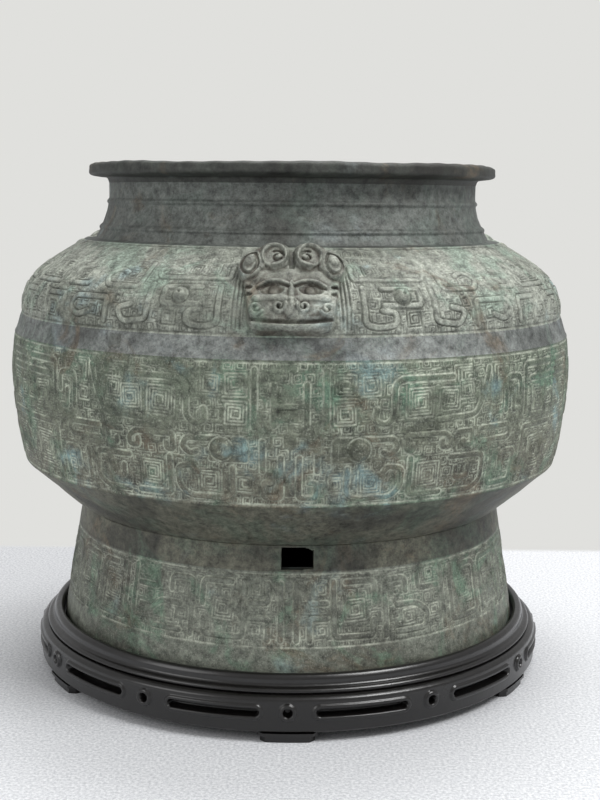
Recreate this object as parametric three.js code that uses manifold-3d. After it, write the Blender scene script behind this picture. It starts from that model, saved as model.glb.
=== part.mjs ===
// A footed bronze jar of bu form on a low lacquered wooden stand.
// Millimetres, +Z up, the table at z = 0, the jar's axis at X = Y = 0 and the front at -Y.
import * as THREE from 'three';
import { mergeVertices } from 'three/addons/utils/BufferGeometryUtils.js';
import Module from 'manifold-3d';

const wasm = await Module();
wasm.setup();

// Fits and facets
const touchGap = 0.3;
const turnFacets = 48;
const rodFacets = 8;

// Stand: feet, apron, seat board and bead ring
const footCount = 6;
const footHeight = 5.2;
const footWidth = 32;
const footDepth = 17;
const footSetBack = 1.6;
const footBevel = 3;
const ledgeHeight = 1.6;
const ledgeInset = 1.4;
const apronRadius = 150;
const apronHeight = 19.5;
const apronWall = 15;
const apronRound = 4;
const seatLedgeWidth = 12;
const boardThickness = 6;
const boardProud = 2;
const ringBaseWidth = 9;
const ringBaseHeight = 2.7;
const beadWidth = 5.5;
const beadHeight = 6;
const ringEdge = 0.2;
const jarSeatClearance = 1.5;
const dowelRadius = 3;
const dowelInFoot = 3;
const dowelInApron = 6;
const bossCount = 12;
const bossRadius = 4.35;
const bossHoleRadius = 2.25;
const bossProud = 1.6;
const bossHoleDepth = 3;
const slotHalfAngle = 9.3;
const slotHeight = 3.8;
const slotDepth = 5;
const slotBead = 2.3;
const slotBeadProud = 1;
const pierceHeight = 11.2;

// Jar: heights of the zones from the foot up, then radii
const footRingHeight = 70;
const undercutHeight = 28;
const bellyBandHeight = 73;
const plainBandHeight = 10.5;
const shoulderHeight = 41.5;
const neckHeight = 35;
const rimHeight = 8;
const footRadius = 135.5;
const waistRadius = 124.5;
const keelRadius = 157.2;
const bellyRadius = 163.7;
const bellyTopRadius = 161.9;
const shoulderBaseRadius = 158;
const neckBaseRadius = 121.5;
const neckRadius = 107;
const rimRadius = 118.3;
const wall = 4;
const rimRound = 2.6;
const rimLift = 1.2;
const mouthFlare = 2;
const footCurveIn = 2.5;
const waistCurveOut = 3.2;
const undercutCurveOut = 4;
const keelStep = 2.5;
const keelLip = 2.6;
const bellySwell = 0.6;
const bellyUpperSwell = 1;
const shoulderSwell = 0.5;
const shoulderDraw = 8;
const shoulderInnerDraw = 10.5;
const neckStep = 6;
const rimRoot = 3;
const ridgeProud = 1.1;
const ridgeHeight = 2.4;
const floorDrop = 8;
const floorRound = 14;
const footHoleWidth = 17.4;
const footHoleHeight = 11.5;
const footHoleTurn = 1.9;

// Animal heads on the shoulder
const headCount = 3;
const headWidth = 54;
const headLength = 50;
const headProud = 8.5;
const cordRadius = 1.5;
const lipCurlRadius = 1.3;
const tenonBurial = 4.2;
const tenonWidth = 16;
const tenonHeight = 9;
const tenonProud = 2;

// Chaplets: the metal spacers left in the cast wall
const chapletCount = 3;
const chapletWidth = 9;
const chapletHeight = 8;
const chapletAngle = -33.3;

// Levels and radii that follow from the sizes above
const apronBottom = footHeight + touchGap;
const apronTop = apronBottom + apronHeight;
const boardRadius = footRadius + touchGap;
const rebateRadius = boardRadius + touchGap;
const boardTop = apronTop + boardProud;
const boardBottom = boardTop - boardThickness;
const ringInner = footRadius + jarSeatClearance;
const ringBottom = apronTop + touchGap;
const jarBottom = boardTop + touchGap;
const widestRadius = Math.max(bellyRadius, bellyTopRadius, shoulderBaseRadius, keelRadius);
const waistLevel = jarBottom + footRingHeight;
const keelLevel = waistLevel + undercutHeight;
const bellyTop = keelLevel + bellyBandHeight;
const shoulderBase = bellyTop + plainBandHeight;
const shoulderTop = shoulderBase + shoulderHeight;
const rimBottom = shoulderTop + neckHeight;
const rimTop = rimBottom + rimHeight;

// Materials
const bronze = { color: 0x5c6458, roughness: 0.62, metalness: 0.55 };
const headBronze = { color: 0x767d70, roughness: 0.6, metalness: 0.5 };
const lacquer = { color: 0x1f1c1b, roughness: 0.32, metalness: 0 };

// A closed solid from a three.js geometry, with its faces turned outward
function solidOf(geometry) {
  const bare = geometry.clone();
  bare.deleteAttribute('normal');
  bare.deleteAttribute('uv');
  const merged = mergeVertices(bare, 1e-4);
  const points = merged.attributes.position.array;
  const corners = [];
  let volume = 0;
  for (let i = 0; i < merged.index.count; i += 3) {
    const [a, b, c] = [0, 1, 2].map((step) => merged.index.getX(i + step));
    if (a === b || b === c || c === a) continue;
    corners.push(a, b, c);
    const [p, q, r] = [a, b, c].map((at) => new THREE.Vector3().fromArray(points, 3 * at));
    volume += p.dot(q.cross(r));
  }
  if (volume < 0) corners.reverse();
  const vertProperties = new Float32Array(points);
  const triVerts = new Uint32Array(corners);
  return new wasm.Manifold(new wasm.Mesh({ numProp: 3, vertProperties, triVerts }));
}

const joined = (solids) => solids.reduce((all, next) => all.add(next));
const moved = (geometry, ...matrices) => {
  matrices.forEach((matrix) => geometry.applyMatrix4(matrix));
  return geometry;
};
const placed = (solid, ...matrices) => matrices.reduce((made, by) => made.transform(by.elements), solid);
const radians = THREE.MathUtils.degToRad;
const turnBy = (degrees) => new THREE.Matrix4().makeRotationZ(radians(degrees));
const shiftBy = (x, y, z) => new THREE.Matrix4().makeTranslation(x, y, z);

// A point in plan, at a radius and an angle from the front
const planPoint = (radius, angle) => new THREE.Vector2(radius * Math.sin(angle), -radius * Math.cos(angle));

// An outline in plan, pushed up by a depth
function extruded(outline, depth) {
  return new THREE.ExtrudeGeometry(new THREE.Shape(outline), { depth, bevelEnabled: false });
}

// A profile of [radius, height] points turned about the vertical axis
function turned(profile) {
  const points = profile.map(([r, z]) => new THREE.Vector2(r, z));
  const lathe = new THREE.LatheGeometry(points, turnFacets);
  return solidOf(lathe.rotateX(Math.PI / 2));
}

// Points on a cubic curve in the radius-height plane, both ends included
function sweep(from, lead, trail, to, steps) {
  const guides = [from, lead, trail, to].map(([r, z]) => new THREE.Vector2(r, z));
  const curve = new THREE.CubicBezierCurve(...guides);
  return curve.getPoints(steps).map((point) => [point.x, point.y]);
}

function sculpted(name, solid, finish) {
  const mesh = solid.getMesh();
  const geometry = new THREE.BufferGeometry();
  geometry.setAttribute('position', new THREE.BufferAttribute(mesh.vertProperties, 3));
  geometry.setIndex(new THREE.BufferAttribute(mesh.triVerts, 1));
  geometry.computeVertexNormals();
  const piece = new THREE.Mesh(geometry, new THREE.MeshStandardMaterial(finish));
  piece.name = name;
  return piece;
}

// Outer line of the foot, undercut, belly and plain band, from the seat up
function lowerOutline() {
  const footLine = sweep([footRadius, jarBottom],
    [footRadius - footCurveIn, jarBottom + footRingHeight * 0.33],
    [waistRadius + waistCurveOut, waistLevel - footRingHeight * 0.3], [waistRadius, waistLevel], 4);
  const undercut = sweep([waistRadius, waistLevel], [waistRadius + undercutCurveOut, waistLevel + 1],
    [keelRadius - 2.4 * keelStep, keelLevel - 2 * keelStep], [keelRadius - keelStep, keelLevel - keelLip], 3);
  const belly = sweep([keelRadius, keelLevel], [bellyRadius + bellySwell, keelLevel + bellyBandHeight * 0.42],
    [bellyRadius + bellyUpperSwell, keelLevel + bellyBandHeight * 0.75], [bellyTopRadius, bellyTop], 5);
  return [...footLine, ...undercut.slice(1), ...belly];
}

// The neck's line at a height above the shoulder, wider where it meets the shoulder
function neckLine(up) {
  const swell = neckBaseRadius - neckRadius - neckStep;
  return neckRadius + swell * Math.max(0, 1 - up / (neckHeight * 0.75)) ** 2;
}

// A bowstring ridge at a height above the shoulder
function bowstring(up) {
  const reach = ridgeHeight / 2;
  return [[neckLine(up - reach), shoulderTop + up - reach], [neckLine(up) + ridgeProud, shoulderTop + up],
    [neckLine(up + reach), shoulderTop + up + reach]];
}

// Outer line of the shoulder, the neck with its two bowstring ridges, and the rim
function upperOutline() {
  const shoulder = sweep([shoulderBaseRadius, shoulderBase],
    [shoulderBaseRadius + shoulderSwell, shoulderBase + shoulderHeight * 0.43],
    [shoulderBaseRadius - shoulderDraw, shoulderTop - shoulderHeight * 0.36],
    [neckBaseRadius, shoulderTop], 6);
  const neck = [[neckLine(0), shoulderTop + rimLift / 2], ...bowstring(neckHeight * 0.21),
    ...bowstring(neckHeight * 0.62), [neckRadius, rimBottom - rimRoot]];
  const rim = [[neckRadius + 1, rimBottom], [rimRadius - rimRound, rimBottom + rimLift],
    [rimRadius - rimRound * 0.25, rimBottom + rimLift + rimRound * 0.4],
    [rimRadius, (rimBottom + rimTop + rimLift) / 2],
    [rimRadius - rimRound * 0.3, rimTop - rimRound * 0.7], [rimRadius - rimRound, rimTop]];
  return [...shoulder, ...neck, ...rim];
}

// Inner line of the vessel, from the mouth down to the middle of the floor
function innerOutline() {
  const mouth = neckRadius - wall;
  const throat = [[mouth + mouthFlare, rimTop], [mouth, rimTop - rimRoot],
    [mouth, shoulderTop + neckHeight * 0.35]];
  const shoulder = sweep([neckBaseRadius - wall * 1.6, shoulderTop - wall * 0.8],
    [shoulderBaseRadius - shoulderInnerDraw, shoulderTop - shoulderHeight * 0.36 - wall],
    [shoulderBaseRadius - wall, shoulderBase + shoulderHeight * 0.42],
    [shoulderBaseRadius - wall, shoulderBase], 4);
  const bellyInner = bellyRadius + bellySwell - wall;
  const belly = sweep([bellyTopRadius - wall, bellyTop - wall],
    [bellyInner, keelLevel + bellyBandHeight * 0.7],
    [bellyInner, keelLevel + bellyBandHeight * 0.42], [keelRadius - wall * 1.1, keelLevel + wall * 0.6], 3);
  const bowl = sweep([keelRadius - wall * 1.9, keelLevel - wall * 0.75],
    [keelRadius - wall * 3.5, keelLevel - wall * 2.5],
    [waistRadius + wall * 2.25, waistLevel + wall * 2], [waistRadius - wall * 0.75, waistLevel + wall], 3);
  const floor = [[waistRadius - floorRound, waistLevel - floorDrop * 0.15],
    [waistRadius * 0.55, waistLevel - floorDrop * 0.82], [0, waistLevel - floorDrop]];
  return [...throat, ...shoulder, ...belly, ...bowl, ...floor];
}

// Underside of the floor and the inside of the hollow foot, from the axis out and down
function undersideOutline() {
  const below = waistLevel - wall;
  return [[0, below - floorDrop], [waistRadius * 0.55, below - floorDrop * 0.82],
    [waistRadius - floorRound, below - floorDrop * 0.18],
    [waistRadius - wall * 1.125, waistLevel - wall * 0.4],
    [footRadius - wall * 2.25, jarBottom + footRingHeight * 0.5], [footRadius - wall, jarBottom]];
}

const jarOutline = () => [...undersideOutline(), ...lowerOutline(), ...upperOutline(), ...innerOutline()];

// The jar's outer form filled solid and grown by the fit clearance, to cut what is cast onto it
function grownForm() {
  const outer = [...lowerOutline(), ...upperOutline()].map(([r, z]) => [r + touchGap * 1.5, z]);
  return turned([[0, jarBottom - touchGap], ...outer, [0, rimTop + touchGap]]);
}

// A radial block that reaches through the wall, centred on the given level at the front
function wallBlock(width, height, level, inner, outer, grow) {
  const block = new THREE.BoxGeometry(width + 2 * grow, outer - inner, height + 2 * grow);
  return moved(block, shiftBy(0, -(inner + outer) / 2, level));
}

const tenonLevel = shoulderBase + shoulderHeight * 0.42;
const chapletLevel = bellyTop + plainBandHeight * 0.55;
const headAngle = (k) => (360 * k) / headCount;
const chapletTurn = (k) => chapletAngle + (360 * k) / chapletCount;

// The block that fills a chaplet's window, or the window itself when it is grown
function chapletBlock(k, grow) {
  const block = wallBlock(chapletWidth, chapletHeight, chapletLevel, neckRadius, widestRadius + wall, grow);
  return solidOf(moved(block, turnBy(chapletTurn(k))));
}

function jarBody() {
  let body = turned(jarOutline());
  const holeLevel = waistLevel - 1 - footHoleHeight / 2;
  for (let k = 0; k < headCount; k += 1) {
    const hole = wallBlock(footHoleWidth, footHoleHeight, holeLevel, waistRadius - 1.6 * wall, footRadius, 0);
    const socket = wallBlock(tenonWidth, tenonHeight, tenonLevel, neckRadius, widestRadius, touchGap);
    body = body.subtract(solidOf(moved(hole, turnBy(headAngle(k) + footHoleTurn))));
    body = body.subtract(solidOf(moved(socket, turnBy(headAngle(k)))));
  }
  for (let k = 0; k < chapletCount; k += 1) body = body.subtract(chapletBlock(k, touchGap));
  return body;
}

// A chaplet is the piece of wall inside its window
const chaplet = (k) => turned(jarOutline()).intersect(chapletBlock(k, 0));

// The face frame of a head: x across, y up the slope of the shoulder and z out of it
const crown = { r: neckBaseRadius + 12, z: shoulderTop + 2 };
const chin = { r: shoulderBaseRadius - 1, z: shoulderBase + 2 };
const facePlane = new THREE.Matrix4().makeBasis(
  new THREE.Vector3(1, 0, 0),
  new THREE.Vector3(0, chin.r - crown.r, crown.z - chin.z).normalize(),
  new THREE.Vector3(0, crown.z - chin.z, crown.r - chin.r).negate().normalize(),
).setPosition(0, -(crown.r + chin.r) / 2, (crown.z + chin.z) / 2);

const halfWidth = headWidth / 2;
const halfLength = headLength / 2;
const eyeLevel = halfLength * 0.06;
const curlLevel = -halfLength * 0.5;

// The mask's outline from the front, mirrored about its middle
function maskOutline() {
  const right = [[0, 0.9], [0.28, 1], [0.62, 0.98], [0.92, 0.9], [1, 0.66], [0.92, 0.36], [0.8, 0.12],
    [0.84, -0.02], [0.74, -0.1], [0.84, -0.2], [0.84, -0.6], [0.7, -0.88], [0.4, -1], [0, -1]];
  const left = right.slice(1, -1).reverse().map(([u, v]) => [-u, v]);
  return [...right, ...left].map(([u, v]) => new THREE.Vector2(u * halfWidth, v * halfLength));
}

// The head from the side: forehead, brow, nose and the overhanging upper lip
function sideOutline() {
  const front = [[-1.02, -0.2], [-0.98, 0.62], [-0.84, 0.66], [-0.8, 1.02], [-0.5, 1], [-0.1, 0.8],
    [0.3, 0.86], [0.75, 0.8], [1.02, 0.45]];
  const points = front.map(([v, w]) => new THREE.Vector2(v * halfLength, w * headProud));
  points.push(new THREE.Vector2(halfLength * 1.02, -headProud * 2.2));
  points.push(new THREE.Vector2(-halfLength * 1.02, -headProud * 2.2));
  return points;
}

function headCore() {
  const mask = extruded(maskOutline(), headProud * 4);
  mask.translate(0, 0, -headProud * 2.6);
  const side = extruded(sideOutline(), headWidth * 1.2);
  side.translate(0, 0, -headWidth * 0.6);
  const across = new THREE.Matrix4().makeBasis(
    new THREE.Vector3(0, 1, 0), new THREE.Vector3(0, 0, 1), new THREE.Vector3(1, 0, 0));
  return solidOf(mask).intersect(solidOf(moved(side, across)));
}

// A smooth raised knob on the mask, mirrored by the sign of its side
function knob(side, u, v, w, radii, lean) {
  const ball = new THREE.SphereGeometry(1, 8, 4);
  ball.scale(...radii);
  return solidOf(moved(ball, turnBy(-side * lean), shiftBy(side * u, v, w)));
}

// A raised cord along points of the mask
function cord(points, thickness) {
  const section = new THREE.Shape();
  section.absarc(0, 0, thickness, 0, 2 * Math.PI, false);
  const path = new THREE.CatmullRomCurve3(points.map((point) => new THREE.Vector3(...point)));
  const options = { steps: points.length + 2, curveSegments: 2, bevelEnabled: false, extrudePath: path };
  return solidOf(new THREE.ExtrudeGeometry(section, options));
}

// A curl is a cord that winds inward on the mask
function curl(side, u, v, w, radius, thickness, start) {
  const points = [];
  const count = 5;
  const winding = 306;
  for (let k = 0; k <= count; k += 1) {
    const angle = radians(start + (winding * k) / count);
    const reach = radius * (1 - (0.55 * k) / count);
    points.push([side * (u + reach * Math.cos(angle)), v + reach * Math.sin(angle), w]);
  }
  return cord(points, thickness);
}

function headFace() {
  const solids = [headCore()];
  for (const side of [-1, 1]) {
    solids.push(knob(side, halfWidth * 0.76, halfLength * 0.66, headProud * 0.75, [6.6, 9.2, 4.6], 24));
    solids.push(curl(side, halfWidth * 0.33, halfLength * 0.62, headProud * 0.86, 6, cordRadius, -60));
    solids.push(cord([[side * 3, halfLength * 0.2, headProud * 0.9],
      [side * 11, halfLength * 0.3, headProud * 0.95],
      [side * 21, halfLength * 0.16, headProud * 0.75]], cordRadius));
    solids.push(knob(side, halfWidth * 0.44, eyeLevel, headProud * 0.7, [6.6, 3.6, 3.4], -8));
    solids.push(knob(side, halfWidth * 0.44, eyeLevel, headProud * 1.06, [1.9, 1.9, 1.3], 0));
    solids.push(curl(side, halfWidth * 0.2, curlLevel, headProud * 1.02, 4, lipCurlRadius, 200));
    solids.push(curl(side, halfWidth * 0.58, curlLevel + 1, headProud * 0.96, 4.2, lipCurlRadius, -20));
  }
  solids.push(knob(1, 0, -halfLength * 0.06, headProud * 0.84, [3, halfLength * 0.42, 3], 0));
  solids.push(cord([[-18, -halfLength * 0.74, headProud * 0.7], [-8, -halfLength * 0.8, headProud * 1.02],
    [8, -halfLength * 0.8, headProud * 1.02], [18, -halfLength * 0.74, headProud * 0.7]], cordRadius));
  return joined(solids);
}

// A head rests on the shoulder with a fit gap, and its tenon runs from inside the wall into its back
function animalHead(k) {
  const shell = placed(headFace(), facePlane, turnBy(headAngle(k))).subtract(grownForm());
  const shoulderAtTenon = shoulderBaseRadius - shoulderHeight * 0.13;
  const inner = shoulderAtTenon - wall * 3 - tenonProud;
  const block = wallBlock(tenonWidth, tenonHeight, tenonLevel, inner, shoulderAtTenon + tenonBurial, 0);
  return shell.add(solidOf(moved(block, turnBy(headAngle(k)))));
}

// Stand
function apronProfile() {
  const inner = apronRadius - apronWall - seatLedgeWidth;
  return [[inner, apronBottom], [apronRadius - 1, apronBottom], [apronRadius, apronBottom + 1],
    [apronRadius, apronTop - apronRound + 1], [apronRadius - 0.6, apronTop - apronRound / 2],
    [apronRadius - apronRound * 0.55, apronTop - apronRound / 8], [apronRadius - apronRound, apronTop],
    [rebateRadius, apronTop], [rebateRadius, boardBottom - touchGap], [inner, boardBottom - touchGap],
    [inner, apronBottom]];
}

// An obround outline as wide as the given half angle on the apron, wrapped round it
function wrappedObround(halfAngle, height, inner, outer) {
  const outline = [];
  const arcSteps = 2;
  const sideSteps = 3;
  const radius = height / 2;
  const reach = radians(halfAngle) * apronRadius - radius;
  for (const way of [1, -1]) {
    for (let k = 0; k <= arcSteps; k += 1) {
      const angle = -Math.PI / 2 + (Math.PI * k) / arcSteps;
      const across = reach + radius * Math.cos(angle);
      outline.push(new THREE.Vector2(way * across, way * radius * Math.sin(angle)));
    }
    for (let k = 1; k < sideSteps; k += 1) {
      outline.push(new THREE.Vector2(way * reach * (1 - (2 * k) / sideSteps), way * radius));
    }
  }
  const bar = extruded(outline, outer - inner);
  const at = bar.attributes.position;
  for (let i = 0; i < at.count; i += 1) {
    const place = planPoint(inner + at.getZ(i), at.getX(i) / apronRadius);
    at.setXYZ(i, place.x, place.y, apronBottom + pierceHeight + at.getY(i));
  }
  return bar;
}

function stub(radius, inner, outer, turn) {
  const rod = new THREE.CylinderGeometry(radius, radius, outer - inner, rodFacets);
  return solidOf(moved(rod, shiftBy(0, -(inner + outer) / 2, apronBottom + pierceHeight), turnBy(turn)));
}

function apron() {
  let body = turned(apronProfile());
  const step = 360 / bossCount;
  const rooted = apronRadius - bossHoleDepth;
  const bossFace = apronRadius + bossProud;
  const beadFace = apronRadius + slotBeadProud;
  for (let k = 0; k < bossCount; k += 1) {
    const between = turnBy((k + 0.5) * step);
    const bead = wrappedObround(slotHalfAngle + 1, slotHeight + 2 * slotBead, rooted, beadFace);
    const slot = wrappedObround(slotHalfAngle, slotHeight, apronRadius - slotDepth, beadFace + slotBeadProud);
    body = body.add(solidOf(moved(bead, between))).subtract(solidOf(moved(slot, between)));
    body = body.add(stub(bossRadius, rooted, bossFace, k * step));
    body = body.subtract(stub(bossHoleRadius, bossFace - bossHoleDepth, bossFace + bossHoleDepth, k * step));
  }
  for (let k = 0; k < footCount; k += 1) body = body.subtract(dowelRod(k, touchGap));
  return body;
}

const dowelCircle = apronRadius - footSetBack - footDepth / 2;

// A vertical peg between a foot and the apron, or its hole when it is grown
function dowelRod(k, grow) {
  const low = footHeight - dowelInFoot - grow;
  const high = apronBottom + dowelInApron + grow;
  const rod = new THREE.CylinderGeometry(dowelRadius + grow, dowelRadius + grow, high - low, rodFacets);
  rod.rotateX(Math.PI / 2);
  return solidOf(moved(rod, shiftBy(0, -dowelCircle, (low + high) / 2), turnBy((360 * k) / footCount)));
}

// A short curved block with bevelled front corners
function footBlock(width, inner, outer, low, high) {
  const half = width / (2 * apronRadius);
  const cut = footBevel / apronRadius;
  const steps = 4;
  const outline = [planPoint(outer - footBevel, -half)];
  for (let k = 0; k <= steps; k += 1) outline.push(planPoint(outer, (half - cut) * ((2 * k) / steps - 1)));
  outline.push(planPoint(outer - footBevel, half));
  for (let k = 0; k <= steps; k += 1) outline.push(planPoint(inner, half * (1 - (2 * k) / steps)));
  const block = extruded(outline, high - low);
  return solidOf(moved(block, shiftBy(0, 0, low)));
}

// A foot is a sole with a wider ledge above it
function standFoot(k) {
  const outer = apronRadius - footSetBack + ledgeInset;
  const inner = apronRadius - footSetBack - footDepth;
  const tread = footHeight - ledgeHeight;
  const overlap = ledgeHeight / 8;
  const sole = footBlock(footWidth - 2 * ledgeInset, inner, outer - ledgeInset, 0, tread + overlap);
  const ledge = footBlock(footWidth, inner, outer, tread, footHeight);
  return placed(sole.add(ledge), turnBy((360 * k) / footCount)).subtract(dowelRod(k, touchGap));
}

function seatBoard() {
  return turned([[0, boardBottom], [boardRadius, boardBottom], [boardRadius, boardTop], [0, boardTop]]);
}

function topRing() {
  const base = ringBottom + ringBaseHeight;
  const top = ringBottom + ringBaseHeight + beadHeight;
  const outer = ringInner + ringBaseWidth;
  const beadOuter = ringInner + beadWidth;
  return turned([[ringInner, ringBottom], [outer, ringBottom],
    [outer + 2 * ringEdge, ringBottom + ringBaseHeight * 0.4], [outer - 3 * ringEdge, base - 2.5 * ringEdge],
    [beadOuter + 4 * ringEdge, base], [beadOuter + ringEdge, base + 5 * ringEdge],
    [beadOuter, base + beadHeight * 0.5], [beadOuter - beadWidth * 0.2, top - beadHeight * 0.15],
    [ringInner + beadWidth * 0.5, top], [ringInner + beadWidth * 0.2, top - beadHeight * 0.15],
    [ringInner, top - beadHeight * 0.4], [ringInner, ringBottom]]);
}

// Assembly
const jar = new THREE.Group();
jar.add(sculpted('jar_body', jarBody(), bronze));
const headNames = ['animal_head_front', 'animal_head_back_right', 'animal_head_back_left'];
for (let k = 0; k < headCount; k += 1) {
  jar.add(sculpted(headNames[k] ?? `animal_head_${k + 1}`, animalHead(k), headBronze));
}
for (let k = 0; k < chapletCount; k += 1) jar.add(sculpted(`chaplet_${k + 1}`, chaplet(k), bronze));

const stand = new THREE.Group();
stand.add(sculpted('stand_apron', apron(), lacquer));
stand.add(sculpted('stand_seat_board', seatBoard(), lacquer));
stand.add(sculpted('stand_top_ring', topRing(), lacquer));
for (let k = 0; k < footCount; k += 1) {
  stand.add(sculpted(`stand_foot_${k + 1}`, standFoot(k), lacquer));
  stand.add(sculpted(`stand_dowel_${k + 1}`, dowelRod(k, 0), lacquer));
}

const buJar = new THREE.Group();
buJar.add(stand, jar);
export default buJar;
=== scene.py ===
# A bronze bu jar with cast ornament on a lacquered wooden stand.
# Sizes are written in millimetres and become metres when a mesh is made.
import math

import bpy
import numpy as np
from mathutils import Matrix, Vector


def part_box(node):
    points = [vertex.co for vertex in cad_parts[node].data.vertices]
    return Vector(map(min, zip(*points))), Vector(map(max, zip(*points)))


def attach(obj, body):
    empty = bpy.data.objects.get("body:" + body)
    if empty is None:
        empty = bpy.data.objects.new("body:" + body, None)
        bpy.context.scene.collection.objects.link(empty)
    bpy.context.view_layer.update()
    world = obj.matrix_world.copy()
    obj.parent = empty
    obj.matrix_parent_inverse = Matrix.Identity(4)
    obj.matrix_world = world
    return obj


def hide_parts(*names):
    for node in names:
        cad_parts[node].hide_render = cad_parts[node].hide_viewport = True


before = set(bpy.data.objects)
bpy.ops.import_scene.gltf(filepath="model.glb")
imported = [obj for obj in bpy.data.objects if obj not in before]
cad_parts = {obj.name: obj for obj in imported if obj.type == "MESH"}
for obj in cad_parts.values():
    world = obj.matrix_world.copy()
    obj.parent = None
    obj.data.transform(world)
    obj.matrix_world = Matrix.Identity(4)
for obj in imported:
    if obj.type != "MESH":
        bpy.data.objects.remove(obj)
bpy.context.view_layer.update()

MM = 0.001
JAR_LOW, JAR_HIGH = (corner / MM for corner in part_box("jar_body"))
BOARD_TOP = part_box("stand_seat_board")[1].z / MM
APRON_LOW, APRON_HIGH = (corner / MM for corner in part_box("stand_apron"))
RING_LOW, RING_HIGH = (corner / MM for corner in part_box("stand_top_ring"))

# Levels of the jar's zones, worked up from the foot
FOOT_BOTTOM = JAR_LOW.z
FOOT_BAND_LOW = FOOT_BOTTOM + 16.5
FOOT_BAND_HIGH = FOOT_BOTTOM + 56.5
WAIST = FOOT_BOTTOM + 70
KEEL = WAIST + 28
BELLY_TOP = KEEL + 73
SHOULDER_BASE = BELLY_TOP + 10.5
SHOULDER_TOP = SHOULDER_BASE + 41.5
RIM_BOTTOM = SHOULDER_TOP + 35
RIM_TOP = JAR_HIGH.z

FOOT_RADIUS = 135.5
WAIST_RADIUS = 124.5
KEEL_RADIUS = 157.2
BELLY_RADIUS = 163.7
BELLY_TOP_RADIUS = 161.9
SHOULDER_RADIUS = 158.0
NECK_BASE_RADIUS = 121.5
NECK_RADIUS = 107.0
RIM_RADIUS = 118.3
WALL = 4.0
MASKS = 3
SECTOR = 2 * math.pi / MASKS
GROOVE_DEPTH = 0.8
STRIP_HALF = 1.75
GROUND_CELL = 6.2
GRID_STEP = 0.42
HOLE_TURN = math.radians(1.9)


# Curves in the radius-height plane
def bezier(points, steps):
    p0, p1, p2, p3 = (np.array(p, float) for p in points)
    t = np.linspace(0, 1, steps + 1)[:, None]
    return (1 - t) ** 3 * p0 + 3 * (1 - t) ** 2 * t * p1 + 3 * (1 - t) * t ** 2 * p2 + t ** 3 * p3


def resample(line, step):
    """Even steps along a line of points, both ends kept."""
    line = np.array(line, float)
    along = np.r_[0, np.cumsum(np.linalg.norm(np.diff(line, axis=0), axis=1))]
    count = max(2, int(round(along[-1] / step)) + 1)
    at = np.linspace(0, along[-1], count)
    return np.stack([np.interp(at, along, line[:, k]) for k in (0, 1)], 1)


def rounded(line, radius=1.8):
    """The same line with each inner corner turned on a small arc."""
    line = np.array(line, float)
    made = [line[0]]
    for before, corner, after in zip(line[:-2], line[1:-1], line[2:]):
        back, ahead = before - corner, after - corner
        reach = min(radius, 0.45 * np.linalg.norm(back), 0.45 * np.linalg.norm(ahead))
        start = corner + back / (np.linalg.norm(back) + 1e-9) * reach
        end = corner + ahead / (np.linalg.norm(ahead) + 1e-9) * reach
        for t in np.linspace(0, 1, 5):
            made.append((1 - t) ** 2 * start + 2 * (1 - t) * t * corner + t ** 2 * end)
    return np.array(made + [line[-1]])


FOOT_LINE = bezier([(FOOT_RADIUS, FOOT_BOTTOM), (FOOT_RADIUS - 2.5, FOOT_BOTTOM + 23),
                    (WAIST_RADIUS + 3.2, WAIST - 21), (WAIST_RADIUS, WAIST)], 60)
UNDERCUT_LINE = bezier([(WAIST_RADIUS, WAIST), (WAIST_RADIUS + 4, WAIST + 1),
                        (KEEL_RADIUS - 6, KEEL - 5), (KEEL_RADIUS - 0.6, KEEL - 0.8)], 30)
BELLY_LINE = bezier([(KEEL_RADIUS, KEEL), (BELLY_RADIUS + 0.6, KEEL + 31),
                     (BELLY_RADIUS + 1, KEEL + 55), (BELLY_TOP_RADIUS, BELLY_TOP)], 60)
SHOULDER_LINE = bezier([(SHOULDER_RADIUS, SHOULDER_BASE), (SHOULDER_RADIUS + 0.5, SHOULDER_BASE + 18),
                        (NECK_BASE_RADIUS + 28.5, SHOULDER_TOP - 15), (NECK_BASE_RADIUS, SHOULDER_TOP)], 60)


def between(line, low, high):
    """The stretch of a line from one level to another."""
    line = np.array(line)
    levels = np.linspace(low, high, 40)
    return np.stack([np.interp(levels, line[:, 1], line[:, 0]), levels], 1)


# Meshes
def build_mesh(name, points, faces, attributes=None):
    mesh = bpy.data.meshes.new(name)
    mesh.vertices.add(len(points))
    mesh.vertices.foreach_set("co", (np.asarray(points, np.float32) * MM).ravel())
    faces = np.asarray(faces, np.int32)
    mesh.loops.add(faces.size)
    mesh.loops.foreach_set("vertex_index", faces.ravel())
    mesh.polygons.add(len(faces))
    mesh.polygons.foreach_set("loop_start", np.arange(len(faces), dtype=np.int32) * faces.shape[1])
    mesh.update(calc_edges=True)
    mesh.polygons.foreach_set("use_smooth", np.ones(len(faces), bool))
    for key, values in (attributes or {}).items():
        layer = mesh.attributes.new(key, "FLOAT", "POINT")
        layer.data.foreach_set("value", np.asarray(values, np.float32).ravel())
    piece = bpy.data.objects.new(name, mesh)
    bpy.context.scene.collection.objects.link(piece)
    return piece


def grid_faces(rows, columns, closed):
    """Quads of a grid, wound so that they face outward on a band that runs upward."""
    across = columns if closed else columns - 1
    r, c = np.meshgrid(np.arange(rows - 1), np.arange(across), indexing="ij")
    nxt = (c + 1) % columns
    quads = np.stack([r * columns + c, r * columns + nxt, (r + 1) * columns + nxt, (r + 1) * columns + c], -1)
    return quads.reshape(-1, 4)


def normals_of(line):
    run = np.gradient(line, axis=0)
    run /= np.linalg.norm(run, axis=1)[:, None] + 1e-9
    return np.stack([run[:, 1], -run[:, 0]], 1)


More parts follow.
